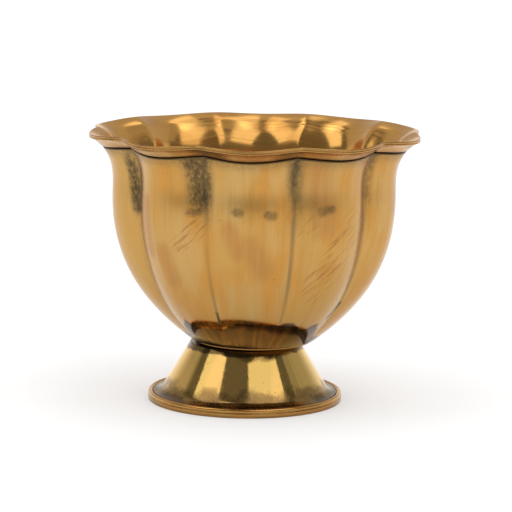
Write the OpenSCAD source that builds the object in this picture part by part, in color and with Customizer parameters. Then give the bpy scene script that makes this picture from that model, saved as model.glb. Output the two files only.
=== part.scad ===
// Small fluted brass bowl on a pedestal foot, with a flared and scalloped lip.
// The bowl and the foot are separate hollow pieces, brazed together at a seat ring.
// Millimetres, +Z up. The origin is on the bowl's axis, in the plane that the foot stands on.

/* [Flutes] */
// Number of flutes round the bowl
flutes = 10; // [8:1:12]
// How far the creases between flutes lie inside the crowns of the flutes
flute_depth = 2.05; // [1.5:0.05:2.2]
// Direction of the first crease, in degrees from +X
crease_at = -2; // [-18:0.5:18]
// Height above the bowl's base at which the flutes reach their full depth
flute_run = 25; // [20:1:27]

/* [Bowl] */
// Thickness of the bowl's wall, up to its widest radius
wall = 1.3; // [1.0:0.1:1.5]
// Thickness to which the wall thins at its top edge
brim_wall = 0.75; // [0.7:0.05:0.9]
// Radius of the flat base
base_r = 11.8; // [11.4:0.1:12.2]
// Height of the flat base
base_z = 11.75; // [11.6:0.05:12]
// Slope of the wall where it leaves the base, in degrees from level
base_slope = 36.5; // [32:0.5:40]
// Widest radius of the body, over the crowns
belly_r = 27.2; // [26.5:0.05:27.5]
// Height of that widest radius
belly_z = 39.3; // [38:0.1:41]
// Radius of the body's top edge, over the crowns
brim_r = 29.1; // [28.8:0.05:29.3]
// Height of the body's top edge, over the crowns
brim_z = 48.4; // [48:0.1:48.6]
// Lean of the wall at its top edge, in degrees from upright
brim_lean = 38; // [32:1:42]
// How much higher the top edge is in the creases than over the crowns
brim_rise = 0.6; // [0.4:0.1:0.8]

/* [Lip] */
// Radius of the lip, over the crowns
lip_r = 31.55; // [31:0.05:32]
// Height of the lip, over the crowns
lip_z = 50.85; // [50.6:0.05:51.2]
// Height of the lip's blunt outer edge
edge_h = 0.75; // [0.7:0.05:0.9]
// How far the lip is drawn in at the creases
scallop = 1.95; // [1.5:0.05:2.1]
// How much higher the lip is in the creases than over the crowns
crest_rise = 0.45; // [0.3:0.05:0.6]
// Thickness of the brazed seam between the body and the lip
seam = 0.35; // [0.25:0.05:0.4]
// How far the braze stays back from the outside of that seam
seam_back = 0.4; // [0.3:0.05:0.45]

/* [Foot] */
// How far the foot was brazed on to one side of the bowl's axis, along X
foot_shift = -1.45; // [-1.5:0.05:0]
// Radius of the foot's neck
neck_r = 10.5; // [10.4:0.05:10.7]
// Height of the foot's flat top
neck_z = 11; // [10.9:0.05:11.05]
// Growth in radius for each millimetre down the cone
cone_rate = 0.61; // [0.58:0.01:0.62]
// Thickness of the foot's wall
foot_wall = 1.1; // [0.9:0.1:1.3]
// Radius of the sweep from the cone out to the flange
sweep_r = 2.2; // [1.8:0.1:2.3]
// Height of the flange's upper face
flange_z = 1.6; // [1.45:0.05:1.65]
// Thickness of the flange where it sits in the foot ring
flange_t = 1.1; // [0.9:0.1:1.2]

/* [Rings] */
// Outer radius of the seat ring under the bowl
seat_r = 11.05; // [10.9:0.05:11.2]
// Inner radius of the seat ring
seat_bore_r = 7; // [5:0.5:8]
// Thickness of the seat ring, which is the diameter of its rounded edge
seat_t = 0.5; // [0.4:0.05:0.5]
// Radius of the brazed disc between the seat ring and the foot
braze_r = 9.4; // [9:0.1:9.5]
// Outer radius of the foot ring
ring_r = 18.3; // [18.2:0.05:18.5]
// Radius of the bead on top of the foot ring
bead_r = 0.4; // [0.3:0.05:0.4]
// Height of the foot ring
ring_h = 1.7; // [1.65:0.05:1.8]
// Width of the ledge under the flange
ledge_w = 1.3; // [1:0.1:1.4]

/* [Hidden] */
$fn = 96;

// Points round the bowl, and along each curve of its sections
SAMPLES = 12 * flutes;
BODY_STEPS = 9;
LIP_STEPS = 4;
ROUND_STEPS = 3;

// How sharply the top edge climbs from a crown into a crease
CREST_POWER = 1.5;
// How far each end of the body's two curves pulls along its tangent
BASE_PULL = 8.4;
BELLY_PULL = 14.3;
NECKING_PULL = 3.3;
BRIM_PULL = 3.8;
// How far the ends of the lip's upper and lower curves pull
LIP_PULL = 0.9;
LEDGE_PULL = 1.2;
UNDER_PULL = 0.9;
// Slope of the lip's upper face at its edge, in degrees
LEDGE_SLOPE = 24;
// Radius of the lip's rounded corners, and depth of the line cut round its edge
CORNER_R = 0.2;
LINE_DEPTH = 0.12;
// Roundings of the foot's neck, and the line cut round the foot ring
NECK_ROUND = 0.25;
RING_LINE_Z = 0.95;
RING_LINE_R = 0.12;
RING_CHAMFER = 0.15;

lean_dir = [sin(brim_lean), cos(brim_lean)];
lean_out = [cos(brim_lean), -sin(brim_lean)];

// Body section over a crown: base to belly, then belly to top edge
body_low = [
    [base_r, base_z],
    [base_r, base_z] + BASE_PULL * [cos(base_slope), sin(base_slope)],
    [belly_r, belly_z - BELLY_PULL],
    [belly_r, belly_z]
];
body_high = [
    [belly_r, belly_z],
    [belly_r, belly_z + NECKING_PULL],
    [brim_r, brim_z] - BRIM_PULL * lean_dir,
    [brim_r, brim_z]
];

// Corners of the seam between body and lip, over a crown
brim_out = [brim_r, brim_z];
brim_in = brim_out - brim_wall * lean_out;
lip_out = brim_out + seam * lean_dir;
lip_in = brim_in + seam * lean_dir;

// Foot section
cone_tilt = atan(cone_rate);
cone_start_z = neck_z - NECK_ROUND;
sweep_start_z = flange_z + sweep_r * (1 - sin(cone_tilt));
flange_r = neck_r + (cone_start_z - sweep_start_z) * cone_rate + sweep_r * cos(cone_tilt);
wall_across = foot_wall / cos(cone_tilt);
ledge_z = flange_z - flange_t;

// Point and tangent of a cubic curve with four control points
function curve(p, t) = pow(1 - t, 3) * p[0] + 3 * pow(1 - t, 2) * t * p[1]
    + 3 * (1 - t) * pow(t, 2) * p[2] + pow(t, 3) * p[3];
function heading(p, t) = let (d = pow(1 - t, 2) * (p[1] - p[0]) + 2 * (1 - t) * t * (p[2] - p[1])
    + pow(t, 2) * (p[3] - p[2])) d / norm(d);

// Points of an arc about a centre, without its first point
function arc(c, r, from, to, steps) = [
    for (i = [1 : steps]) let (a = from + (to - from) * i / steps) c + r * [cos(a), sin(a)]
];

// 1 on the crown of a flute and 0 in a crease, along half a sine wave across each flute
function crown(a) = abs(sin(flutes / 2 * (a - crease_at)));

// One closed ring of points: a section point carried round the flutes
function ring_at(p, depth, rise) = [
    for (i = [0 : SAMPLES - 1])
        let (a = crease_at + i * 360 / SAMPLES, c = crown(a), r = p[0] - depth * (1 - c))
            [r * cos(a), r * sin(a), p[1] + rise * (1 - pow(c, CREST_POWER))]
];

// Depth of the flutes and rise of the crests at a height on the body
function depth_at(z) = flute_depth * sin(90 * min(1, (z - base_z) / flute_run));
function rise_at(z) = brim_rise * brim_share(z);
// 0 up to the widest radius and 1 at the top edge, along a parabola between them
function brim_share(z) = pow(max(0, (z - belly_z) / (brim_z - belly_z)), 2);
function wall_at(z) = wall + (brim_wall - wall) * brim_share(z);

// Rings of the body's outer side (inset 0) or inner side (inset 1), from base to top edge
function body_side(inset) = [
    for (part = [0, 1], i = [part : BODY_STEPS])
        let (p = part == 0 ? body_low : body_high, t = i / BODY_STEPS)
            let (q = curve(p, t), d = heading(p, t))
                ring_at(q - inset * wall_at(q[1]) * [d[1], -d[0]], depth_at(q[1]), rise_at(q[1]))
];

// Ring of the lip: the scallops grow from the seam out to the lip's edge
function lip_ring(p) = let (f = max(0, min(1, (p[0] - lip_out[0]) / (lip_r - lip_out[0]))))
    ring_at(p, flute_depth + (scallop - flute_depth) * f, brim_rise + (crest_rise - brim_rise) * f);

function reversed(list) = [for (i = [len(list) - 1 : -1 : 0]) list[i]];

// Section of the lip over a crown, from the seam's outer corner inwards and round
function lip_section() = let (
    top = [lip_r - CORNER_R, lip_z - CORNER_R],
    line_z = lip_z - edge_h / 2 - CORNER_R / 4,
    low = [lip_r - CORNER_R, lip_z - edge_h + CORNER_R],
    upper = [lip_in, lip_in + LIP_PULL * lean_dir,
        [top[0], lip_z] - LEDGE_PULL * [cos(LEDGE_SLOPE), sin(LEDGE_SLOPE)], [top[0], lip_z]],
    under = [low + [0, -CORNER_R], low + [-UNDER_PULL, -CORNER_R - UNDER_PULL / 3],
        lip_out + UNDER_PULL * [cos(brim_lean), sin(brim_lean)], lip_out]
) concat(
    [lip_out],
    [for (i = [0 : LIP_STEPS]) curve(upper, i / LIP_STEPS)],
    arc(top, CORNER_R, 90, 0, ROUND_STEPS),
    [[lip_r - LINE_DEPTH, line_z]],
    arc(low, CORNER_R, 0, -90, ROUND_STEPS),
    [for (i = [1 : LIP_STEPS - 1]) curve(under, i / LIP_STEPS)]
);

// Faces between neighbouring rings; the winding of a band is the reverse of a vessel's
function quads(rings, last) = let (n = SAMPLES, m = len(rings)) [
    for (j = [0 : last], i = [0 : n - 1])
        [j * n + i, j * n + (i + 1) % n, (j + 1) % m * n + (i + 1) % n, (j + 1) % m * n + i]
];

// A solid whose rings close on themselves, like a hoop
module band(rings) {
    polyhedron([for (r = rings) each r], quads(rings, len(rings) - 1), convexity = 4);
}

// A solid whose first and last rings are flat discs
module vessel(rings) {
    n = SAMPLES;
    first_disc = [for (i = [n - 1 : -1 : 0]) i];
    last_disc = [for (i = [0 : n - 1]) (len(rings) - 1) * n + i];
    polyhedron([for (r = rings) each r],
        concat([last_disc, first_disc], quads(rings, len(rings) - 2)), convexity = 4);
}

module fluted_bowl() {
    color("#c2954f") vessel(concat(body_side(0), reversed(body_side(1))));
}

module lip_band() {
    color("#b5803f") band([for (p = lip_section()) lip_ring(p)]);
}

module lip_braze() {
    back = seam_back * lean_out;
    corners = [brim_out - back, brim_in, lip_in, lip_out - back];
    color("#6b5230") band([for (p = corners) ring_at(p, flute_depth, brim_rise)]);
}

module seat_ring() {
    color("#c99a50") translate([0, 0, base_z - seat_t]) rotate_extrude() {
        translate([seat_bore_r, 0]) square([seat_r - seat_t / 2 - seat_bore_r, seat_t]);
        translate([seat_r - seat_t / 2, seat_t / 2]) circle(d = seat_t);
    }
}

// The braze lies where the seat ring and the foot overlap, midway between their axes
module foot_braze() {
    color("#6b5230") translate([foot_shift / 2, 0, neck_z])
        cylinder(r = braze_r, h = base_z - seat_t - neck_z);
}

module pedestal_foot() {
    outside = concat(
        [[0, neck_z], [neck_r - NECK_ROUND, neck_z]],
        arc([neck_r - NECK_ROUND, cone_start_z], NECK_ROUND, 90, 0, ROUND_STEPS),
        [[flange_r - sweep_r * cos(cone_tilt), sweep_start_z]],
        arc([flange_r, flange_z + sweep_r], sweep_r, 180 + cone_tilt, 270, 2 * ROUND_STEPS)
    );
    inside = [
        [flange_r, ledge_z],
        [neck_r + (cone_start_z - ledge_z) * cone_rate - wall_across, ledge_z],
        [neck_r + (cone_start_z - neck_z + foot_wall) * cone_rate - wall_across, neck_z - foot_wall],
        [0, neck_z - foot_wall]
    ];
    color("#b98a45") translate([foot_shift, 0, 0]) rotate_extrude() polygon(concat(outside, inside));
}

module foot_ring() {
    bead_at = [ring_r - bead_r, ring_h - bead_r];
    color("#c08f48") translate([foot_shift, 0, 0]) rotate_extrude() difference() {
        union() {
            polygon([
                [flange_r - ledge_w, 0],
                [ring_r - RING_CHAMFER, 0],
                [ring_r, RING_CHAMFER],
                [ring_r, bead_at[1]],
                [flange_r, bead_at[1]],
                [flange_r, ledge_z],
                [flange_r - ledge_w, ledge_z]
            ]);
            translate(bead_at) circle(r = bead_r);
        }
        translate([ring_r, RING_LINE_Z]) circle(r = RING_LINE_R);
    }
}

fluted_bowl();
lip_band();
lip_braze();
seat_ring();
foot_braze();
pedestal_foot();
foot_ring();
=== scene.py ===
from math import atan, atan2, cos, degrees, pi, radians, sin

import bpy
import numpy as np
from mathutils import Matrix, Vector


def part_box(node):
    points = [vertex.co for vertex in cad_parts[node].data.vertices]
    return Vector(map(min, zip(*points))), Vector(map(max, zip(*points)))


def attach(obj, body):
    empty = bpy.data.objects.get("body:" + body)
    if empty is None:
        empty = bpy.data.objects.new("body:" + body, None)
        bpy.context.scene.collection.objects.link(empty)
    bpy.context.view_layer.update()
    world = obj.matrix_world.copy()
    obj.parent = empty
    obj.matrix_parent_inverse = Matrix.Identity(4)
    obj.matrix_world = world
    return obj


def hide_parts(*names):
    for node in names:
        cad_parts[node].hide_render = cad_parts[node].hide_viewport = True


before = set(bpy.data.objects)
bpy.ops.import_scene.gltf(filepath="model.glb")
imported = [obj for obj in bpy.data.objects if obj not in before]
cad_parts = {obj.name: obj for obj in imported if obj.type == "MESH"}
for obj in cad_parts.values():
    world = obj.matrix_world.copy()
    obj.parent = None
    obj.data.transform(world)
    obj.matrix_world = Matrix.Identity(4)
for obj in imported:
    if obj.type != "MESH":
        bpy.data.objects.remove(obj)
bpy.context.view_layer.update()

# Looks of the small fluted brass bowl. Each CAD node is replaced by a finer mesh of the same
# shape and size, with softened edges, slight hand-made unevenness and a procedural brass finish.

MM = 0.001

# ---------------------------------------------------------------- sizes, over the flutes' crowns

FLUTES = 10
PITCH = 2 * pi / FLUTES
FIRST_CREASE = radians(-2)
FLUTE_DEPTH = 2.05 * MM
FLUTE_RUN = 25 * MM
WALL = 1.3 * MM
BRIM_WALL = 0.75 * MM
BASE_R = 11.8 * MM
BASE_SLOPE = radians(36.5)
BASE_PULL = 8.4 * MM
BELLY_R = 27.2 * MM
BELLY_Z = 39.3 * MM
BELLY_PULL = 14.3 * MM
NECKING_PULL = 3.3 * MM
BRIM_R = 29.1 * MM
BRIM_Z = 48.4 * MM
BRIM_LEAN = radians(38)
BRIM_PULL = 3.8 * MM
BRIM_RISE = 0.6 * MM
LIP_R = 31.54 * MM
EDGE_H = 0.75 * MM
EDGE_CORNER = 0.2 * MM
LIP_PULL = 0.9 * MM
LEDGE_PULL = 1.2 * MM
LEDGE_SLOPE = radians(24)
UNDER_PULL = 0.9 * MM
SCALLOP = 1.95 * MM
CREST_RISE = 0.45 * MM
CREST_POWER = 1.5
LINE_DEPTH = 0.12 * MM
SEAM = 0.35 * MM
SEAM_BACK = 0.4 * MM
SEAT_BORE_R = 7 * MM
CONE_RATE = 0.61
NECK_ROUND = 0.25 * MM
FOOT_WALL = 1.1 * MM
SWEEP_R = 2.2 * MM
FLANGE_Z = 1.6 * MM
BEAD_R = 0.4 * MM
LEDGE_W = 1.3 * MM
RING_LINE_Z = 0.95 * MM

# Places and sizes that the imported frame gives
BASE_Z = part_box("fluted_bowl")[0][2]
LIP_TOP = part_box("lip_band")[1][2]
SEAT_LOW, SEAT_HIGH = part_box("seat_ring")
BRAZE_LOW, BRAZE_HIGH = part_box("foot_braze")
FOOT_LOW, FOOT_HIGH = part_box("pedestal_foot")
RING_LOW, RING_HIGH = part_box("foot_ring")
FOOT_X = (FOOT_LOW[0] + FOOT_HIGH[0]) / 2
FLANGE_R = (FOOT_HIGH[0] - FOOT_LOW[0]) / 2
RING_R = (RING_HIGH[0] - RING_LOW[0]) / 2
SEAT_R = (SEAT_HIGH[0] - SEAT_LOW[0]) / 2
BRAZE_X = (BRAZE_LOW[0] + BRAZE_HIGH[0]) / 2
BRAZE_R = (BRAZE_HIGH[0] - BRAZE_LOW[0]) / 2

# Rows along the body's lower and upper curves, and points round each flute
LOW_ROWS = 64
HIGH_ROWS = 28
POINTS_PER_FLUTE = 40

# How far back from a corner its softening starts
BOWL_SOFTENING = 0.14 * MM
LIP_SOFTENING = 0.06 * MM
FOOT_SOFTENING = 0.15 * MM
RING_SOFTENING = 0.12 * MM

# The widest gap between two rows of a section
BOWL_SPACING = 0.7 * MM
FOOT_SPACING = 0.5 * MM
RING_SPACING = 0.6 * MM

# Edges sharper than this are shaded as corners
CORNER_ANGLE = radians(50)

# How far the hand-made surface wanders inwards, at most
UNEVENNESS = 0.05 * MM

# The wander is a sum of waves. Each goes a whole number of times round the bowl, up to
# WAVES_ROUND, and turns by up to WAVES_UP radians per metre of height.
WAVES = 10
WAVES_ROUND = 15
WAVES_UP = 250
WAVE_SEED = 1

# Marks on the outside, each along a short line: its kind, then azimuth in degrees and height in mm
# at both ends, then half width in mm. Azimuth 0 is the front and grows to the right. The patina,
# blush, scrape and pitting marks are wear; the dark spots lie along a line at about 39 mm.
MARKS = [
    ("patina", -25.0, 48.5, -22.5, 41.5, 3.6),
    ("patina", -60.0, 46.5, -57.0, 38.5, 2.6),
    ("patina", -20.3, 19.5, -20.0, 17.5, 0.7),
    ("patina", 49.0, 18.0, 52.0, 20.5, 1.2),
    ("patina", 120.0, 44.0, 123.5, 37.0, 2.0),
    ("patina", 196.5, 46.5, 195.0, 39.0, 1.8),
    ("dark_spot", -26.5, 38.7, -23.0, 38.9, 1.6),
    ("dark_spot", -7.2, 39.3, -5.6, 39.2, 1.6),
    ("dark_spot", 5.0, 38.9, 7.4, 38.7, 1.7),
    ("dark_spot", 26.8, 39.2, 30.8, 39.6, 1.8),
    ("dark_spot", 150.0, 40.0, 153.0, 40.2, 2.0),
    ("dark_spot", 268.0, 39.5, 270.0, 39.5, 1.8),
    ("blush", 24.0, 47.0, 29.0, 37.0, 5.0),
    ("blush", -2.0, 33.0, 4.0, 29.0, 4.0),
    ("blush", -10.0, 36.0, -6.0, 32.0, 3.0),
    ("blush", -48.0, 40.0, -47.0, 31.0, 2.6),
    ("blush", -39.0, 31.0, -37.0, 26.0, 3.4),
    ("blush", 74.0, 42.0, 72.0, 38.0, 3.0),
    ("blush", 110.0, 35.0, 116.0, 30.0, 5.0),
    ("blush", 178.0, 40.0, 184.0, 33.0, 5.0),
    ("blush", 236.0, 36.0, 240.0, 28.0, 4.0),
    ("scrape", 29.0, 25.0, 43.0, 36.0, 5.0),
    ("scrape", -32.0, 33.0, -24.0, 36.0, 2.6),
    ("scrape", 22.0, 35.0, 28.0, 39.0, 2.6),
    ("scrape", 136.0, 27.0, 146.0, 35.0, 4.0),
    ("scrape", 214.0, 33.0, 222.0, 39.0, 3.0),
    ("pitting", 26.0, 21.5, 37.0, 20.5, 1.6),
    ("pitting", -33.0, 35.0, -24.0, 31.5, 2.2),
    ("pitting", 160.0, 30.0, 168.0, 26.0, 2.0),
]
MARK_KINDS = ["patina", "dark_spot", "blush", "scrape", "pitting"]

# ---------------------------------------------------------------- sections

# How softly the creases turn: crisp outside, rounder along the lip's edge and on the inner side
CRISP = 0.03
EDGE_SOFT = 0.07
INNER_SOFT = 0.16

# How much of the inner side's polish the lip's top corner keeps
EDGE_SHINE = 0.6

# A section is a list of rows (radius, height, flute depth, crest rise, inside, softness), over a
# crown. Inside is 1 on the polished inner side and 0 elsewhere.


def row(r, z, depth=0.0, rise=0.0, inside=0.0, soft=CRISP):
    return np.array([r, z, depth, rise, inside, soft])


def cubic(p, t):
    """Point of a cubic curve with four control points."""
    s = 1 - t
    return s ** 3 * p[0] + 3 * s ** 2 * t * p[1] + 3 * s * t * t * p[2] + t ** 3 * p[3]


def heading(p, t):
    """Direction of that curve."""
    s = 1 - t
    d = s ** 2 * (p[1] - p[0]) + 2 * s * t * (p[2] - p[1]) + t * t * (p[3] - p[2])
    return d / np.hypot(*d[:2])


def arc_points(centre, radius, start, end, steps=6):
    """Points along an arc about a centre. Angles are in degrees: 0 points out and 90 points up."""
    turns = np.radians(np.linspace(start, end, steps + 1))
    return [centre + radius * np.array([cos(a), sin(a)]) for a in turns]


def arc(r, z, radius, start, end, steps):
    """Rows along an arc about (r, z)."""
    return [row(*p) for p in arc_points(np.array([r, z]), radius, start, end, steps)]


def turn_between(a, b):
    """Angle in degrees by which a section turns from step a to step b."""
    return abs(degrees(atan2(a[0] * b[1] - a[1] * b[0], a[0] * b[0] + a[1] * b[1])))


def rounded(rows, reach, limit=25, steps=4, sharp=()):
    """The section with each corner that turns by more than the limit rounded off, over a reach to
    both sides, except the corners named as sharp."""
    out = [rows[0]]
    for before, here, after in zip(rows, rows[1:], rows[2:]):
        a, b = here - before, after - here
        kept = any(np.allclose(here[:2], point, atol=MM / 1000) for point in sharp)
        if kept or turn_between(a, b) < limit:
            out.append(here)
            continue
        start = here - a * min(reach / np.hypot(*a[:2]), 0.5)
        end = here + b * min(reach / np.hypot(*b[:2]), 0.5)
        for t in np.linspace(0, 1, steps + 1):
            out.append((1 - t) ** 2 * start + 2 * (1 - t) * t * here + t * t * end)
    return out + [rows[-1]]


def filled(rows, spacing):
    """The section with points added so that none are further apart than the spacing."""
    out = [rows[0]]
    for a, b in zip(rows, rows[1:]):
        n = max(1, int(np.ceil(np.hypot(*(b - a)[:2]) / spacing)))
        out += [a + (b - a) * i / n for i in range(1, n + 1)]
    return out


def depth_at(z):
    return FLUTE_DEPTH * sin(pi / 2 * min(1.0, max(0.0, (z - BASE_Z) / FLUTE_RUN)))


def brim_share(z):
    """0 up to the widest radius and 1 at the body's top edge."""
    return max(0.0, (z - BELLY_Z) / (BRIM_Z - BELLY_Z)) ** 2


LEAN_DIR = np.array([sin(BRIM_LEAN), cos(BRIM_LEAN)])
LEAN_OUT = np.array([cos(BRIM_LEAN), -sin(BRIM_LEAN)])
BRIM_OUT = np.array([BRIM_R, BRIM_Z])
BRIM_IN = BRIM_OUT - BRIM_WALL * LEAN_OUT
LIP_OUT = BRIM_OUT + SEAM * LEAN_DIR
LIP_IN = BRIM_IN + SEAM * LEAN_DIR
LIP_Z = LIP_TOP - CREST_RISE + (CREST_RISE - BRIM_RISE) * EDGE_CORNER / (LIP_R - LIP_OUT[0])

BASE_CORNER = np.array([BASE_R, BASE_Z])
BELLY = np.array([BELLY_R, BELLY_Z])
BODY_LOW = np.array([
    BASE_CORNER,
    BASE_CORNER + BASE_PULL * np.array([cos(BASE_SLOPE), sin(BASE_SLOPE)]),
    BELLY - np.array([0, BELLY_PULL]),
    BELLY,
])
BODY_HIGH = np.array([
    BELLY,
    BELLY + np.array([0, NECKING_PULL]),
    BRIM_OUT - BRIM_PULL * LEAN_DIR,
    BRIM_OUT,
])


def body_side(inside):
    """Rows up the body's outer side (inside 0), or its inner side at the wall's thickness (1)."""
    soft = INNER_SOFT if inside else CRISP
    rows = []
    for curve, count in ((BODY_LOW, LOW_ROWS), (BODY_HIGH, HIGH_ROWS)):
        for t in np.linspace(0, 1, count + 1)[len(rows) > 0:]:
            q, d = cubic(curve, t), heading(curve, t)
            share = brim_share(q[1])
            thickness = WALL + (BRIM_WALL - WALL) * share
            r, z = q - inside * thickness * np.array([d[1], -d[0]])
            rows.append(row(r, z, depth_at(q[1]), BRIM_RISE * share, inside, soft))
    return rows


def bowl_section():
    outer, inner = body_side(0), body_side(1)[::-1]
    rows = [row(0, BASE_Z)] + outer + inner + [row(0, inner[-1][1], inside=1)]
    return filled(rounded(rows, BOWL_SOFTENING, sharp=[BRIM_IN]), BOWL_SPACING)


def lip_row(r, z, inside=0.0):
    """A lip row: the scallops grow from the seam out to the lip's edge."""
    f = min(1.0, max(0.0, (r - LIP_OUT[0]) / (LIP_R - LIP_OUT[0])))
    depth = FLUTE_DEPTH + (SCALLOP - FLUTE_DEPTH) * f
    rise = BRIM_RISE + (CREST_RISE - BRIM_RISE) * f
    soft = INNER_SOFT if inside else CRISP
    return row(r, z, depth, rise, inside, soft + (EDGE_SOFT - soft) * f)


def lip_section():
    """The lip over a crown: its polished upper side, blunt edge with a fine line, and underside."""
    middle = LIP_R - EDGE_CORNER
    edge = np.array([middle, LIP_Z])
    ledge_dir = np.array([cos(LEDGE_SLOPE), sin(LEDGE_SLOPE)])
    upper = np.array([LIP_IN, LIP_IN + LIP_PULL * LEAN_DIR, edge - LEDGE_PULL * ledge_dir, edge])
    below = np.array([middle, LIP_Z - EDGE_H])
    under = np.array([below, below - UNDER_PULL * np.array([1, 1 / 3]),
                      LIP_OUT + UNDER_PULL * np.array([cos(BRIM_LEAN), sin(BRIM_LEAN)]), LIP_OUT])
    line = np.array([LIP_R, LIP_Z - EDGE_H / 2 - EDGE_CORNER / 4])
    rows = [lip_row(*LIP_OUT)]
    rows += [lip_row(*cubic(upper, t), inside=1) for t in np.linspace(0, 1, 17)]
    top_centre, low_centre = edge - [0, EDGE_CORNER], below + [0, EDGE_CORNER]
    rows += [lip_row(*p, EDGE_SHINE) for p in arc_points(top_centre, EDGE_CORNER, 84, 60, 2)]
    rows += [lip_row(*p) for p in arc_points(top_centre, EDGE_CORNER, 45, 0, 4)]
    rows += [lip_row(*p) for p in arc_points(line, LINE_DEPTH, 115, 245)]
    rows += [lip_row(*p) for p in arc_points(low_centre, EDGE_CORNER, 0, -90)]
    rows += [lip_row(*cubic(under, t)) for t in np.linspace(0, 1, 15)[1:]]
    # The last row but one also leads in, so that the corner where the section closes is rounded
    return rounded(rows[-2:-1] + rows, LIP_SOFTENING, limit=50, sharp=[LIP_IN])[1:]


def seam_section():
    """The brazing metal between body and lip, flush inside and set back outside."""
    back = SEAM_BACK * LEAN_OUT
    low_out, high_out = BRIM_OUT - back, LIP_OUT - back
    corners = [(low_out, 0), (BRIM_IN, 1), (LIP_IN, 1), (high_out, 0), (low_out, 0)]
    softs = (CRISP, INNER_SOFT)
    return [row(*p, FLUTE_DEPTH, BRIM_RISE, inside, softs[inside]) for p, inside in corners]


def seat_section():
    half = (SEAT_HIGH[2] - SEAT_LOW[2]) / 2
    rows = [row(SEAT_BORE_R, SEAT_LOW[2])]
    rows += arc(SEAT_R - half, SEAT_LOW[2] + half, half, -90, 90, 12)
    rows += [row(SEAT_BORE_R, SEAT_HIGH[2]), rows[0]]
    return filled(rows, RING_SPACING)


def braze_section():
    low, high = BRAZE_LOW[2], BRAZE_HIGH[2]
    return [row(0, low), row(BRAZE_R, low), row(BRAZE_R, high), row(0, high)]


def foot_section():
    """The hollow foot: from its ceiling down the inside, out under the flange and up the cone."""
    tilt = atan(CONE_RATE)
    top, low = FOOT_HIGH[2], FOOT_LOW[2]
    cone_top = top - NECK_ROUND
    cone_foot = FLANGE_Z + SWEEP_R * (1 - sin(tilt))
    neck_r = FLANGE_R - SWEEP_R * cos(tilt) - (cone_top - cone_foot) * CONE_RATE
    ceiling = top - FOOT_WALL

    def inner(z):
        return row(neck_r + (cone_top - z) * CONE_RATE - FOOT_WALL / cos(tilt), z)

    rows = [row(0, ceiling), inner(ceiling), inner(low), row(FLANGE_R, low)]
    rows += arc(FLANGE_R, FLANGE_Z + SWEEP_R, SWEEP_R, 270, 180 + degrees(tilt), 18)
    rows += arc(neck_r - NECK_ROUND, cone_top, NECK_ROUND, degrees(tilt), 90, 8)
    return filled(rounded(rows + [row(0, top)], FOOT_SOFTENING), FOOT_SPACING)


def ring_section():
    bead_z = RING_HIGH[2] - BEAD_R
    step_r = FLANGE_R - LEDGE_W
    ledge_z = FOOT_LOW[2]
    rows = [row(step_r, 0), row(RING_R, 0)]
    rows += arc(RING_R, RING_LINE_Z, LINE_DEPTH, 270, 90, 8)
    rows += arc(RING_R - BEAD_R, bead_z, BEAD_R, 0, 180, 16)
    rows += [row(FLANGE_R, bead_z), row(FLANGE_R, ledge_z), row(step_r, ledge_z), row(step_r, 0)]
    return filled(rounded(rows, RING_SOFTENING, limit=60), RING_SPACING)


# ---------------------------------------------------------------- meshes


def flute_angles(per_flute):
    """Angles round the bowl, closer together near the creases."""
    t = np.arange(per_flute) / per_flute
    eased = 0.5 * t + 0.25 * (1 - np.cos(pi * t))
    return np.concatenate([FIRST_CREASE + (k + eased) * PITCH for k in range(FLUTES)])


def crown_share(angle, soft):
    """1 on a crown and almost 0 in a crease, which is rounded a little."""
    wave = np.sin(FLUTES / 2 * (angle - FIRST_CREASE))
    return np.sqrt(wave * wave + soft * soft) / np.hypot(1, soft)


def waviness(angle, z):
    """Gentle unevenness of hand work, between -1 and 1, the same on every run."""
    rng = np.random.default_rng(WAVE_SEED)
    total = np.zeros(np.broadcast(angle, z).shape)
    for _ in range(WAVES):
        around = rng.integers(1, WAVES_ROUND + 1)
        along = rng.uniform(-WAVES_UP, WAVES_UP)
        total += np.cos(around * angle + along * z + rng.uniform(0, 2 * pi))
    return np.clip(total / WAVES ** 0.5, -1, 1)


def mark_strength(kind, azimuth, z):
    """How strongly the marks of one kind show at each azimuth (radians) and height, from 0 to 1."""
    strength = np.zeros(np.broadcast(azimuth, z).shape)
    for name, az_a, z_a, az_b, z_b, width in MARKS:
        if name != kind:
            continue
        middle = radians((az_a + az_b) / 2)
        u = BELLY_R * ((azimuth - middle + pi) % (2 * pi) - pi)
        reach = BELLY_R * radians(az_b - az_a) / 2
        line = np.array([2 * reach, (z_b - z_a) * MM])
        du, dz = u + reach, z - z_a * MM
        t = np.clip((du * line[0] + dz * line[1]) / (line @ line), 0, 1)
        gap = np.hypot(du - t * line[0], dz - t * line[1])
        strength = np.maximum(strength, np.clip(1 - (gap / (width * MM)) ** 2, 0, 1) ** 2)
    return strength


def add_values(mesh, name, values):
    attribute = mesh.attributes.new(name, "FLOAT", "POINT")
    attribute.data.foreach_set("value", values.astype(np.float32).ravel())


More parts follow.
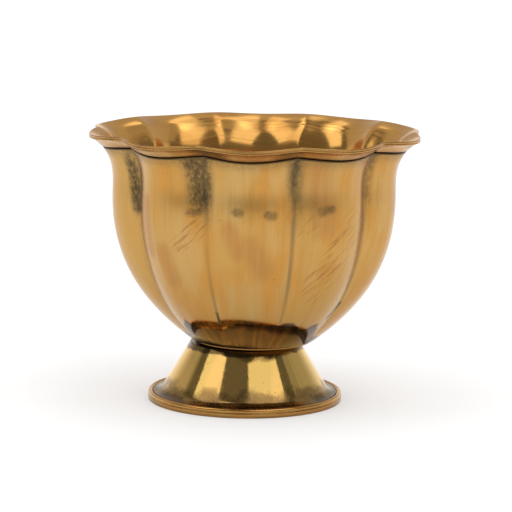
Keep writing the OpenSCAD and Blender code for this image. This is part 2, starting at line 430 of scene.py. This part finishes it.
def swept(name, section, angles, x, unevenness, marked):
    """A closed solid: the section carried round the axis, with poles where it meets the axis."""
    rows = np.array(section)
    poles = rows[0, 0] < 1e-9 and rows[-1, 0] < 1e-9
    ends = rows[[0, -1]]
    rows = rows[1:-1] if poles else rows[:-1]
    m, n = len(rows), len(angles)
    a = angles[None, :]
    share = crown_share(a, rows[:, 5:6])
    r = rows[:, 0:1] - rows[:, 2:3] * (1 - share)
    z = rows[:, 1:2] + rows[:, 3:4] * (1 - share ** CREST_POWER)
    wander = unevenness * (0.5 + 0.5 * waviness(a, z)) * np.minimum(1, r / BASE_R)
    r = r - wander * np.where(rows[:, 4:5] > 0, 0.5, 1)
    points = np.stack([x + r * np.cos(a), r * np.sin(a), z + 0 * a], axis=-1).reshape(-1, 3)
    last = m - 1 if poles else m
    j, i = np.meshgrid(np.arange(last), np.arange(n), indexing="ij")
    after_j, after_i = (j + 1) % m, (i + 1) % n
    quads = np.stack([j * n + i, j * n + after_i, after_j * n + after_i, after_j * n + i], axis=-1)
    faces = quads.reshape(-1, 4).tolist()
    if poles:
        points = np.vstack([points, [x, 0, ends[0, 1]], [x, 0, ends[1, 1]]])
        k = np.arange(n)
        high = last * n
        faces += np.stack([(k + 1) % n, k, np.full(n, m * n)], axis=-1).tolist()
        faces += np.stack([high + k, high + (k + 1) % n, np.full(n, m * n + 1)], axis=-1).tolist()
    mesh = bpy.data.meshes.new(name)
    mesh.from_pydata(points.tolist(), [], faces)
    mesh.shade_smooth()
    mesh.set_sharp_from_angle(angle=CORNER_ANGLE)
    add_finish_values(mesh, points, x, rows, share, marked)
    piece = bpy.data.objects.new(name, mesh)
    bpy.context.scene.collection.objects.link(piece)
    return piece


def add_finish_values(mesh, points, x, rows, share, marked):
    """Per-point values for the finishes: place in mm, on a drum outside and as rings inside; inner
    side; height over a crown in mm; creases and marks."""
    angle = np.arctan2(points[:, 1], points[:, 0] - x)
    height = points[:, 2]
    radius = np.hypot(points[:, 0] - x, points[:, 1])
    poles = len(points) > share.size
    inside, level = [
        np.append(np.repeat(values, share.shape[1]), values[[0, -1]] if poles else [])
        for values in (rows[:, 4], rows[:, 1])
    ]
    drum = np.stack([BELLY_R * np.cos(angle), BELLY_R * np.sin(angle), height], axis=-1)
    dished = np.stack([points[:, 0] - x, points[:, 1], height + radius], axis=-1)
    wrap = mesh.attributes.new("wrap", "FLOAT_VECTOR", "POINT")
    values = np.where(inside[:, None] > 0, dished, drum) / MM
    wrap.data.foreach_set("vector", values.astype(np.float32).ravel())
    add_values(mesh, "inside", inside)
    add_values(mesh, "level", level / MM)
    if not marked:
        return
    add_values(mesh, "crease", np.append(1 - share.ravel(), [0, 0]))
    for kind in MARK_KINDS:
        add_values(mesh, kind, mark_strength(kind, angle + pi / 2, height) * (1 - inside))


# ---------------------------------------------------------------- finishes


class Finish:
    """A node material with a Principled shader, built up by small steps."""

    def __init__(self, name):
        self.material = bpy.data.materials.new(name)
        self.material.use_nodes = True
        self.tree = self.material.node_tree
        self.shader = self.tree.nodes["Principled BSDF"]
        self.shader.inputs["Metallic"].default_value = 1.0

    def put(self, socket, value):
        """Link an output to a socket, or set the socket's own value."""
        if isinstance(value, bpy.types.NodeSocket):
            self.tree.links.new(value, socket)
        else:
            socket.default_value = value

    def attribute(self, name, output="Fac"):
        node = self.tree.nodes.new("ShaderNodeAttribute")
        node.attribute_name = name
        return node.outputs[output]

    def mapped(self, vector, scale=(1, 1, 1), turn=0.0):
        """A place scaled, then turned about the Y axis."""
        node = self.tree.nodes.new("ShaderNodeMapping")
        self.put(node.inputs["Vector"], vector)
        node.inputs["Scale"].default_value = scale
        node.inputs["Rotation"].default_value = (0, radians(turn), 0)
        return node.outputs["Vector"]

    def wrap(self, across=1.0, along=1.0):
        """Place on the surface in mm, scaled round the axis and along it."""
        return self.mapped(self.attribute("wrap", "Vector"), (across, across, along))

    def slanted(self, angle, along, across):
        """Place on the surface in mm, scaled along and across lines that climb to the right."""
        turned = self.mapped(self.attribute("wrap", "Vector"), turn=angle)
        return self.mapped(turned, (along, along, across))

    def noise(self, vector, scale=1.0, detail=3.0, roughness=0.5):
        node = self.tree.nodes.new("ShaderNodeTexNoise")
        self.put(node.inputs["Vector"], vector)
        node.inputs["Scale"].default_value = scale
        node.inputs["Detail"].default_value = detail
        node.inputs["Roughness"].default_value = roughness
        return node.outputs["Fac"]

    def cells(self, vector, scale):
        """Distance to the nearest of many scattered points."""
        node = self.tree.nodes.new("ShaderNodeTexVoronoi")
        self.put(node.inputs["Vector"], vector)
        node.inputs["Scale"].default_value = scale
        return node.outputs["Distance"]

    def between(self, value, low, high, start=0.0, end=1.0):
        """Start where the value is low, end where it is high, and smooth between."""
        node = self.tree.nodes.new("ShaderNodeMapRange")
        node.interpolation_type = "SMOOTHSTEP"
        limits = {"From Min": low, "From Max": high, "To Min": start, "To Max": end}
        for name, number in limits.items():
            node.inputs[name].default_value = number
        self.put(node.inputs["Value"], value)
        return node.outputs["Result"]

    def math(self, operation, a, b, clamp=False):
        node = self.tree.nodes.new("ShaderNodeMath")
        node.operation = operation
        node.use_clamp = clamp
        self.put(node.inputs[0], a)
        self.put(node.inputs[1], b)
        return node.outputs[0]

    def times(self, a, b):
        return self.math("MULTIPLY", a, b)

    def plus(self, a, b, clamp=False):
        return self.math("ADD", a, b, clamp)

    def part(self, axis):
        """One of the three parts of the place on the surface in mm."""
        node = self.tree.nodes.new("ShaderNodeSeparateXYZ")
        self.put(node.inputs[0], self.attribute("wrap", "Vector"))
        return node.outputs[axis]

    def height(self):
        """Height above the ground in mm, outside."""
        return self.part("Z")

    def blend(self, amount, under, over):
        """One colour laid over another, by an amount from 0 to 1."""
        node = self.tree.nodes.new("ShaderNodeMix")
        node.data_type = "RGBA"
        self.put(node.inputs["Factor"], amount)
        for socket, color in ((node.inputs[6], under), (node.inputs[7], over)):
            self.put(socket, (*color, 1) if isinstance(color, tuple) else color)
        return node.outputs[2]

    def mixed(self, amount, under, over):
        """A number between two others, by an amount from 0 to 1."""
        node = self.tree.nodes.new("ShaderNodeMix")
        self.put(node.inputs["Factor"], amount)
        self.put(node.inputs[2], under)
        self.put(node.inputs[3], over)
        return node.outputs[0]

    def bump(self, height, distance):
        node = self.tree.nodes.new("ShaderNodeBump")
        node.inputs["Distance"].default_value = distance
        self.put(node.inputs["Height"], height)
        return node.outputs["Normal"]

    def done(self, color, roughness, normal):
        self.put(self.shader.inputs["Base Color"], color)
        self.put(self.shader.inputs["Roughness"], roughness)
        self.put(self.shader.inputs["Normal"], normal)
        return self.material


SATIN = (0.52, 0.298, 0.084)
SATIN_PALE = (0.54, 0.335, 0.120)
SATIN_ORANGE = (0.53, 0.262, 0.060)
SATIN_DEEP = (0.40, 0.225, 0.064)
BLUSH = (0.43, 0.205, 0.060)
PATINA = (0.085, 0.060, 0.030)
OLIVE = (0.23, 0.155, 0.062)
PIT = (0.070, 0.040, 0.018)
SCORED = (0.30, 0.135, 0.045)
POLISHED = (0.94, 0.495, 0.132)
POLISHED_DEEP = (0.82, 0.375, 0.085)
LIP_BROWN = (0.53, 0.275, 0.084)
LIP_DARK = (0.20, 0.110, 0.035)
MIRROR = (0.93, 0.565, 0.170)
MIRROR_GREEN = (0.74, 0.50, 0.140)
# Darker flange colour: partly duller brass, partly painted shade
FLANGE_DULL_AND_SHADE = (0.26, 0.150, 0.055)
# Dark brown of painted shade at the foot's neck and flange and on the seat ring
SHADE_BROWN = (0.075, 0.045, 0.022)
RING_BROWN = (0.36, 0.170, 0.050)
# Almost black: the brazing metal's own tarnish, and painted shade in the crevices beside the seam
TARNISH_AND_SHADE = (0.022, 0.018, 0.014)
# Painted dark reflection of the foot, low on the body
REFLECTED_FOOT_DARK = (0.064, 0.053, 0.046)
REFLECTED_FOOT_WARM = (0.135, 0.092, 0.060)
# Painted glint: the flange's bright rim as mirrored on the body
REFLECTED_RIM_GLINT = (0.66, 0.27, 0.055)


# Heights in mm that the finishes refer to
BRIM_LEVEL = BRIM_Z / MM
FLANGE_LEVEL = FLANGE_Z / MM
NECK_LEVEL = FOOT_HIGH[2] / MM
RING_LEVEL = RING_HIGH[2] / MM
# Top of the painted dark reflection of the foot, in mm
REFLECTION_LEVEL = 16.5

# Towards the bowl's left and right the painted dark reflection of the foot sinks by the drop below:
# fully where the drum's front-to-back distance from the axis is under the first of these, and not
# at all over the second
REFLECTION_SIDES = (14.5, 20.0)
REFLECTION_DROP = 3.2

# How high the fine relief of each finish stands
BODY_RELIEF = 0.006 * MM
LIP_RELIEF = 0.005 * MM
BRAZE_RELIEF = 0.02 * MM
FOOT_RELIEF = 0.004 * MM
RING_RELIEF = 0.004 * MM


def polished_inside(f, color, roughness, relief, turned=0.8):
    """An outer side's colour, roughness and relief, with the turned and polished ones inside."""
    turning = f.noise(f.wrap(0.03, 1.8), 1.0, 4.0, 0.6)
    cloud = f.noise(f.wrap(), 0.14, 3.0)
    polish = f.blend(f.between(cloud, 0.42, 0.66, 0, 0.7), POLISHED, POLISHED_DEEP)
    polish = f.blend(f.between(turning, 0.55, 0.72, 0, 0.30), polish, SATIN_DEEP)
    smooth = f.between(turning, 0.35, 0.7, 0.13, 0.24)
    smooth = f.plus(smooth, f.between(cloud, 0.4, 0.7, 0.0, 0.05))
    inside = f.attribute("inside")
    color = f.blend(inside, color, polish)
    roughness = f.mixed(inside, roughness, smooth)
    return color, roughness, f.mixed(inside, relief, f.times(turning, turned))


def body_finish():
    """Satin brass outside, with scrape marks, patina, dark spots and pits, painted shade under the
    lip and a painted dark reflection of the foot low down; polished inside.
    """
    f = Finish("fluted_brass")
    cloud = f.noise(f.wrap(1, 0.6), 0.11, 3.0)
    drift = f.noise(f.wrap(1, 0.35), 0.23, 2.0)
    streak = f.noise(f.wrap(1.3, 0.05), 1.0, 4.0, 0.65)
    hair = f.noise(f.wrap(4.5, 0.11), 1.0, 3.0, 0.6)
    grain = f.noise(f.wrap(), 2.6, 4.0, 0.7)
    color = f.blend(f.between(cloud, 0.38, 0.62), SATIN, SATIN_ORANGE)
    color = f.blend(f.between(drift, 0.45, 0.68, 0, 0.75), color, SATIN_PALE)
    color = f.blend(f.between(streak, 0.50, 0.75, 0, 0.42), color, SATIN_DEEP)
    color = f.blend(f.between(hair, 0.55, 0.8, 0, 0.35), color, SATIN_DEEP)

    blush = f.between(f.attribute("blush"), 0.0, 1.0, 0, 0.75)
    blush = f.times(blush, f.between(streak, 0.35, 0.6, 0.75, 1))
    color = f.blend(blush, color, BLUSH)

    level = f.attribute("level")
    # Olive band just under the lip: partly tarnish, partly painted shade under the lip's overhang.
    under_lip = f.between(level, BRIM_LEVEL - 2.2, BRIM_LEVEL - 0.1)
    under_lip = f.times(under_lip, f.between(grain, 0.3, 0.6, 0.25, 0.6))
    color = f.blend(under_lip, color, OLIVE)
    # Painted shade: the body darkens almost to black in the crevice under the lip.
    crevice = f.between(level, BRIM_LEVEL - 0.35, BRIM_LEVEL - 0.05, 0, 0.85)
    color = f.blend(crevice, color, TARNISH_AND_SHADE)
    crease = f.between(f.attribute("crease"), 0.86, 0.98)
    crease = f.times(crease, f.between(drift, 0.35, 0.6, 0.30, 0.95))
    crease = f.times(crease, f.between(f.height(), 17, 27, 0.5, 0.9))
    color = f.blend(crease, color, OLIVE)

    lace = f.noise(f.wrap(1.0, 0.7), 1.5, 5.0, 0.75)
    grime = f.between(f.attribute("crease"), 0.55, 0.96)
    grime = f.times(grime, f.between(level, 33.0, 45.0, 0, 0.9))
    grime = f.times(grime, f.between(f.plus(lace, drift), 0.75, 1.2, 0.15, 1))
    color = f.blend(grime, color, PATINA)
    patina = f.attribute("patina")
    stain = f.times(f.between(patina, 0.0, 1.0, 0, 0.70), f.between(lace, 0.30, 0.55, 0.55, 1))
    color = f.blend(stain, color, OLIVE)
    worn = f.plus(f.times(patina, 0.25), f.times(f.attribute("crease"), 0.18))
    etched = f.between(f.plus(worn, lace), 0.68, 0.96, 0, 0.8)
    etched = f.times(etched, f.between(patina, 0.0, 0.8))
    color = f.blend(etched, color, PATINA)

    # Dark spots along a line at about 39 mm height.
    dark_spot = f.attribute("dark_spot")
    puff = f.noise(f.wrap(0.8, 1.3), 0.8, 3.0, 0.6)
    dark_spots = f.between(f.plus(dark_spot, f.times(f.plus(puff, grain), 1.1)), 1.2, 2.4, 0, 0.75)
    color = f.blend(f.times(dark_spots, f.between(dark_spot, 0.0, 0.8)), color, PATINA)

    line = f.noise(f.slanted(45, 0.20, 3.4), 1.0, 2.0, 0.5)
    scrape = f.between(f.attribute("scrape"), 0.0, 0.5)
    scrape = f.times(scrape, f.between(line, 0.52, 0.62, 0, 0.7))
    scrape = f.times(scrape, f.between(f.plus(grain, cloud), 0.75, 1.15, 0.25, 1))
    color = f.blend(scrape, color, SCORED)

    dots = f.between(f.cells(f.wrap(), 0.75), 0.05, 0.15, 1, 0)
    chosen = f.plus(f.noise(f.wrap(), 0.33, 2.0), f.times(f.attribute("pitting"), 0.35))
    pits = f.times(dots, f.between(chosen, 0.60, 0.66))
    color = f.blend(f.times(pits, 0.85), color, PIT)

    # Painted reflection: low on the body the colour turns dark where the bowl would mirror the dark
    # foot, with a wavy edge that sinks towards the left and right.
    reflection_edge = f.plus(f.height(), f.between(f.noise(f.wrap(), 0.16, 2.0), 0.35, 0.65, -0.9, 0.9))
    sideways = f.between(f.math("ABSOLUTE", f.part("Y"), 0), *REFLECTION_SIDES, REFLECTION_DROP, 0)
    reflection_edge = f.plus(reflection_edge, sideways)
    painted_reflection = f.between(reflection_edge, REFLECTION_LEVEL, REFLECTION_LEVEL + 0.5, 0.90, 0)
    reflection_mottle = f.noise(f.wrap(0.5, 0.12), 1.0, 3.0)
    reflection_color = f.blend(f.between(reflection_mottle, 0.50, 0.68), REFLECTED_FOOT_DARK, REFLECTED_FOOT_WARM)
    # Painted reflection: a thin warm glint of the flange's bright rim along the top of the dark
    # reflection.
    glint_fringe = f.between(reflection_edge, REFLECTION_LEVEL + 0.4, REFLECTION_LEVEL + 1.0, 1, 0)
    color = f.blend(f.times(glint_fringe, f.between(cloud, 0.45, 0.6)), color, REFLECTED_RIM_GLINT)
    color = f.blend(painted_reflection, color, reflection_color)

    roughness = f.between(f.height(), 17.0, 26.0, 0.09, 0.23)
    roughness = f.plus(roughness, f.between(streak, 0.4, 0.75, 0.0, 0.07))
    roughness = f.plus(roughness, f.times(f.plus(stain, under_lip, clamp=True), 0.25), clamp=True)
    relief = f.plus(f.times(hair, 0.5), f.times(streak, 0.9))
    relief = f.plus(relief, f.times(grain, 0.25))
    cut = f.plus(f.times(pits, 2.0), f.plus(f.times(etched, 1.4), scrape))
    relief = f.math("SUBTRACT", relief, cut)
    color, roughness, relief = polished_inside(f, color, roughness, relief)
    return f.done(color, roughness, f.bump(relief, BODY_RELIEF))


def lip_finish():
    """Brown-gold satin edge and underside; polished upper side."""
    f = Finish("lip_brass")
    drag = f.noise(f.wrap(0.25, 2.5), 1.0, 4.0, 0.6)
    cloud = f.noise(f.wrap(), 0.16, 3.0)
    grain = f.noise(f.wrap(), 3.0, 4.0, 0.7)
    color = f.blend(f.between(cloud, 0.4, 0.65), LIP_BROWN, SATIN)
    color = f.blend(f.between(drag, 0.48, 0.72, 0, 0.6), color, LIP_DARK)
    color = f.blend(f.between(grain, 0.60, 0.78, 0, 0.4), color, LIP_DARK)
    level = f.attribute("level")
    # Painted shade: the underside darkens towards the seam, and the row just over the seam is
    # painted almost black.
    color = f.blend(f.between(level, BRIM_LEVEL + 0.3, BRIM_LEVEL + 0.9, 0.45, 0), color, LIP_DARK)
    color = f.blend(f.between(level, BRIM_LEVEL + 0.28, BRIM_LEVEL + 0.4, 0.9, 0), color, TARNISH_AND_SHADE)
    roughness = f.between(drag, 0.35, 0.7, 0.20, 0.34)
    roughness = f.plus(roughness, f.between(grain, 0.5, 0.8, 0.0, 0.08))
    relief = f.plus(drag, f.times(grain, 0.4))
    color, roughness, relief = polished_inside(f, color, roughness, relief)
    return f.done(color, roughness, f.bump(relief, LIP_RELIEF))


def braze_finish():
    """Tarnished brazing metal, rough and almost black; polished where it is flush inside."""
    f = Finish("braze_metal")
    lumps = f.noise(f.wrap(), 1.8, 4.0, 0.7)
    color = f.blend(f.between(lumps, 0.5, 0.75, 0, 0.7), TARNISH_AND_SHADE, OLIVE)
    roughness = f.between(lumps, 0.3, 0.7, 0.5, 0.75)
    color, roughness, relief = polished_inside(f, color, roughness, lumps, turned=1.0)
    return f.done(color, roughness, f.bump(relief, BRAZE_RELIEF))


def foot_finish():
    """Mirror polish with fine pits, faint turning lines and a green tinge in places; painted shade
    at the flange and at the neck under the bowl.
    """
    f = Finish("foot_brass")
    turning = f.noise(f.wrap(0.03, 3.0), 1.0, 4.0, 0.6)
    cloud = f.noise(f.wrap(), 0.07, 2.0)
    grain = f.noise(f.wrap(), 1.4, 4.0, 0.65)
    color = f.blend(f.between(cloud, 0.46, 0.60, 0, 0.7), MIRROR, MIRROR_GREEN)
    color = f.blend(f.between(grain, 0.58, 0.76, 0, 0.35), color, SATIN_DEEP)
    dots = f.between(f.cells(f.wrap(), 0.95), 0.06, 0.16, 1, 0)
    pits = f.times(dots, f.between(f.noise(f.wrap(), 0.5, 2.0), 0.47, 0.55))
    color = f.blend(f.times(pits, 0.8), color, PIT)
    blotch = f.noise(f.wrap(0.35, 0.8), 0.45, 3.0, 0.6)
    blotchy_height = f.plus(f.height(), f.between(blotch, 0.35, 0.65, -0.7, 0.7))
    # Darker flange and low cone: partly duller brass, partly painted shade.
    flange_shade = f.between(blotchy_height, FLANGE_LEVEL + 1.2, FLANGE_LEVEL + 3.1, 0.80, 0.0)
    color = f.blend(flange_shade, color, FLANGE_DULL_AND_SHADE)
    # Painted shade in the corner where the cone meets the flange.
    flange_corner_shade = f.between(blotchy_height, FLANGE_LEVEL, FLANGE_LEVEL + 0.8, 0.6, 0.0)
    color = f.blend(flange_corner_shade, color, SHADE_BROWN)
    # Painted shade at the top of the foot, under the bowl.
    neck = f.plus(f.height(), f.between(blotch, 0.35, 0.65, -0.2, 0.2))
    neck_shade = f.between(neck, NECK_LEVEL - 1.1, NECK_LEVEL - 0.75, 0.0, 0.85)
    color = f.blend(neck_shade, color, SHADE_BROWN)
    roughness = f.plus(f.between(grain, 0.4, 0.75, 0.055, 0.15), f.times(pits, 0.3))
    rougher = f.between(blotchy_height, FLANGE_LEVEL + 0.2, FLANGE_LEVEL + 2.6, 0.16, 0.0)
    roughness = f.plus(roughness, rougher)
    relief = f.math("SUBTRACT", f.plus(f.times(turning, 0.25), f.times(grain, 0.5)), pits)
    return f.done(color, roughness, f.bump(relief, FOOT_RELIEF))


def ring_finish(name, shade):
    """Turned and polished rings, with painted shade towards their bottom edge, brighter brass from
    the top of the foot ring's bead up that is partly a painted highlight, and painted shade all
    over by the amount given.
    """
    f = Finish(name)
    turning = f.noise(f.wrap(0.04, 4.0), 1.0, 4.0, 0.6)
    cloud = f.noise(f.wrap(), 0.12, 3.0)
    grain = f.noise(f.wrap(), 1.8, 4.0, 0.7)
    color = f.blend(f.between(grain, 0.42, 0.70), SATIN, LIP_BROWN)
    color = f.blend(f.between(turning, 0.50, 0.72, 0, 0.5), color, SATIN_DEEP)
    # Painted shade: darker towards the bottom edge, next to the floor.
    color = f.blend(f.between(f.height(), 0.1, 0.9, 0.9, 0), color, LIP_DARK)
    color = f.blend(f.between(cloud, 0.40, 0.62, 0, 0.55), color, RING_BROWN)
    # Brighter brass from the top of the foot ring's bead up: partly rubbed polish, partly a painted
    # highlight.
    bead = f.between(f.height(), RING_LEVEL - 0.5, RING_LEVEL - 0.1, 0, 0.6)
    color = f.blend(bead, color, POLISHED)
    # Painted shade over the whole ring, by the amount given; the seat ring sits in shade under the
    # bowl.
    color = f.blend(shade, color, SHADE_BROWN)
    roughness = f.between(turning, 0.3, 0.7, 0.14, 0.24)
    roughness = f.plus(roughness, f.between(grain, 0.5, 0.8, 0.0, 0.08))
    relief = f.plus(turning, f.times(grain, 0.5))
    return f.done(color, roughness, f.bump(relief, RING_RELIEF))


# ---------------------------------------------------------------- pieces

ROUND = np.linspace(0, 2 * pi, 360, endpoint=False)
FLUTED = flute_angles(POINTS_PER_FLUTE)
BRAZE = braze_finish()
SEAT_SHADE = 0.6
SEAT = ring_finish("seat_brass", SEAT_SHADE)
RING = ring_finish("ring_brass", 0.0)

# Name, CAD node, section, angles, place along X, finish, slot and unevenness of each piece
PIECES = [
    ("bowl", "fluted_bowl", bowl_section(), FLUTED, 0, body_finish(), "bowl_brass", UNEVENNESS),
    ("lip", "lip_band", lip_section(), FLUTED, 0, lip_finish(), "lip_brass", 0),
    ("lip_seam", "lip_braze", seam_section(), FLUTED, 0, BRAZE, "braze_metal", 0),
    ("seat", "seat_ring", seat_section(), ROUND, 0, SEAT, "ring_brass", 0),
    ("foot_seam", "foot_braze", braze_section(), ROUND, BRAZE_X, BRAZE, "braze_metal", 0),
    ("foot", "pedestal_foot", foot_section(), ROUND, FOOT_X, foot_finish(), "foot_brass", 0),
    ("foot_rim", "foot_ring", ring_section(), ROUND, FOOT_X, RING, "ring_brass", 0),
]
for name, node, section, angles, x, finish, slot, unevenness in PIECES:
    piece = swept(name, section, angles, x, unevenness, marked=name == "bowl")
    piece.data.materials.append(finish)
    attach(piece, "root")
    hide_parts(node)

# ---------------------------------------------------------------- stage, lights and camera

FLOOR_FRONT = 0.45
FLOOR_BACK = 6.0
FLOOR_WHITE = 0.70
FLOOR_GLOW = 0.22
PANEL_DISTANCE = 1.5
PANEL_ELEVATION = 50
PANEL_HEIGHT = 1.2
OVERHEAD_NEAR = -0.45
OVERHEAD_FAR = 0.9

# Each panel's name, azimuth in degrees (0 is the front and it grows to the right), width, radiance
PANELS = [
    ("left_panel", -68, 0.84, 0.95),
    ("right_panel", 42, 1.18, 0.88),
    ("right_fill", 96, 0.40, 0.20),
]

# Each overhead light's name, left and right edge along X, and radiance
OVERHEADS = [
    ("left_overhead", -0.70, -0.24, 0.75),
    ("right_overhead", 0.02, 0.80, 0.70),
]

# Brightness of the studio that glossy surfaces see, in front and high up behind
DARK_LEVEL = 0.13
HIGH_LEVEL = 0.42

# A direction's share of straight back over which the dark front ends, and its share of straight up
# over which the studio behind dims
FRONT_ENDS = (0.12, 0.30)
HIGH_STARTS = (0.06, 0.36)


def add_floor():
    near, far = -FLOOR_FRONT, FLOOR_BACK
    mesh = bpy.data.meshes.new("floor")
    corners = [(-far, near, 0), (far, near, 0), (far, far, 0), (-far, far, 0)]
    mesh.from_pydata(corners, [], [(0, 1, 2, 3)])
    material = bpy.data.materials.new("floor_white")
    material.use_nodes = True
    shader = material.node_tree.nodes["Principled BSDF"]
    shader.inputs["Base Color"].default_value = (FLOOR_WHITE, FLOOR_WHITE, FLOOR_WHITE, 1)
    shader.inputs["Roughness"].default_value = 0.9
    shader.inputs["Specular IOR Level"].default_value = 0.0
    shader.inputs["Emission Color"].default_value = (1, 1, 1, 1)
    shader.inputs["Emission Strength"].default_value = FLOOR_GLOW
    mesh.materials.append(material)
    floor = bpy.data.objects.new("floor", mesh)
    bpy.context.scene.collection.objects.link(floor)


def soft_light(name, width, length, radiance, place, back):
    """A soft rectangular light with its back turned to a direction."""
    light = bpy.data.lights.new(name, "AREA")
    light.shape = "RECTANGLE"
    light.size, light.size_y = width, length
    light.energy = pi * width * length * radiance
    lamp = bpy.data.objects.new(name, light)
    lamp.location = place
    lamp.rotation_mode = "QUATERNION"
    lamp.rotation_quaternion = back.to_track_quat("Z", "Y")
    bpy.context.scene.collection.objects.link(lamp)


def panel(name, azimuth, width, radiance):
    """A light that stands in front of the bowl and faces it."""
    a, e = radians(azimuth), radians(PANEL_ELEVATION)
    back = Vector((sin(a) * cos(e), -cos(a) * cos(e), sin(e)))
    soft_light(name, width, PANEL_HEIGHT, radiance, back * PANEL_DISTANCE, back)


def overhead(name, left, right, radiance):
    """A light that hangs over the bowl, between two places along X."""
    place = Vector(((left + right) / 2, (OVERHEAD_NEAR + OVERHEAD_FAR) / 2, PANEL_DISTANCE))
    soft_light(name, right - left, OVERHEAD_FAR - OVERHEAD_NEAR, radiance, place, Vector((0, 0, 1)))


def add_world():
    """A white studio, which glossy surfaces see as dark in front and dimmer high up behind."""
    world = bpy.data.worlds.new("studio")
    world.use_nodes = True
    bpy.context.scene.world = world
    tree = world.node_tree
    link, make = tree.links.new, tree.nodes.new

    def ramp(value, low, high, start, end):
        node = make("ShaderNodeMapRange")
        node.interpolation_type = "SMOOTHSTEP"
        for socket, number in zip(node.inputs[1:5], (low, high, start, end)):
            socket.default_value = number
        link(value, node.inputs["Value"])
        return node.outputs["Result"]

    direction = make("ShaderNodeTexCoord")
    parts = make("ShaderNodeSeparateXYZ")
    link(direction.outputs["Generated"], parts.inputs[0])
    front = ramp(parts.outputs["Y"], *FRONT_ENDS, 1, 0)
    behind = ramp(parts.outputs["Z"], *HIGH_STARTS, 1, HIGH_LEVEL)
    level = make("ShaderNodeMix")
    link(front, level.inputs["Factor"])
    link(behind, level.inputs[2])
    level.inputs[3].default_value = DARK_LEVEL
    level = level.outputs[0]
    path = make("ShaderNodeLightPath")
    glossy = make("ShaderNodeMix")
    link(path.outputs["Is Glossy Ray"], glossy.inputs["Factor"])
    glossy.inputs[2].default_value = 1
    link(level, glossy.inputs[3])
    link(glossy.outputs[0], tree.nodes["Background"].inputs["Strength"])
    tree.nodes["Background"].inputs["Color"].default_value = (1, 1, 1, 1)


CAMERA_DISTANCE = 0.49675
CAMERA_ELEVATION = radians(9.21)
CAMERA_ROLL = radians(0.786)
CAMERA_LENS = 185.49
CAMERA_TARGET = Vector((0.352, 0, 27.257)) * MM


def add_camera():
    data = bpy.data.cameras.new("camera")
    data.lens = CAMERA_LENS
    data.clip_start = 0.01
    camera = bpy.data.objects.new("camera", data)
    back = Vector((0, -cos(CAMERA_ELEVATION), sin(CAMERA_ELEVATION)))
    camera.location = CAMERA_TARGET + CAMERA_DISTANCE * back
    aim = Matrix.Rotation(pi / 2 - CAMERA_ELEVATION, 4, "X") @ Matrix.Rotation(CAMERA_ROLL, 4, "Z")
    camera.rotation_euler = aim.to_euler()
    bpy.context.scene.collection.objects.link(camera)
    bpy.context.scene.camera = camera


add_floor()
for light in PANELS:
    panel(*light)
for light in OVERHEADS:
    overhead(*light)
add_world()
add_camera()
bpy.context.scene.view_settings.view_transform = "Standard"
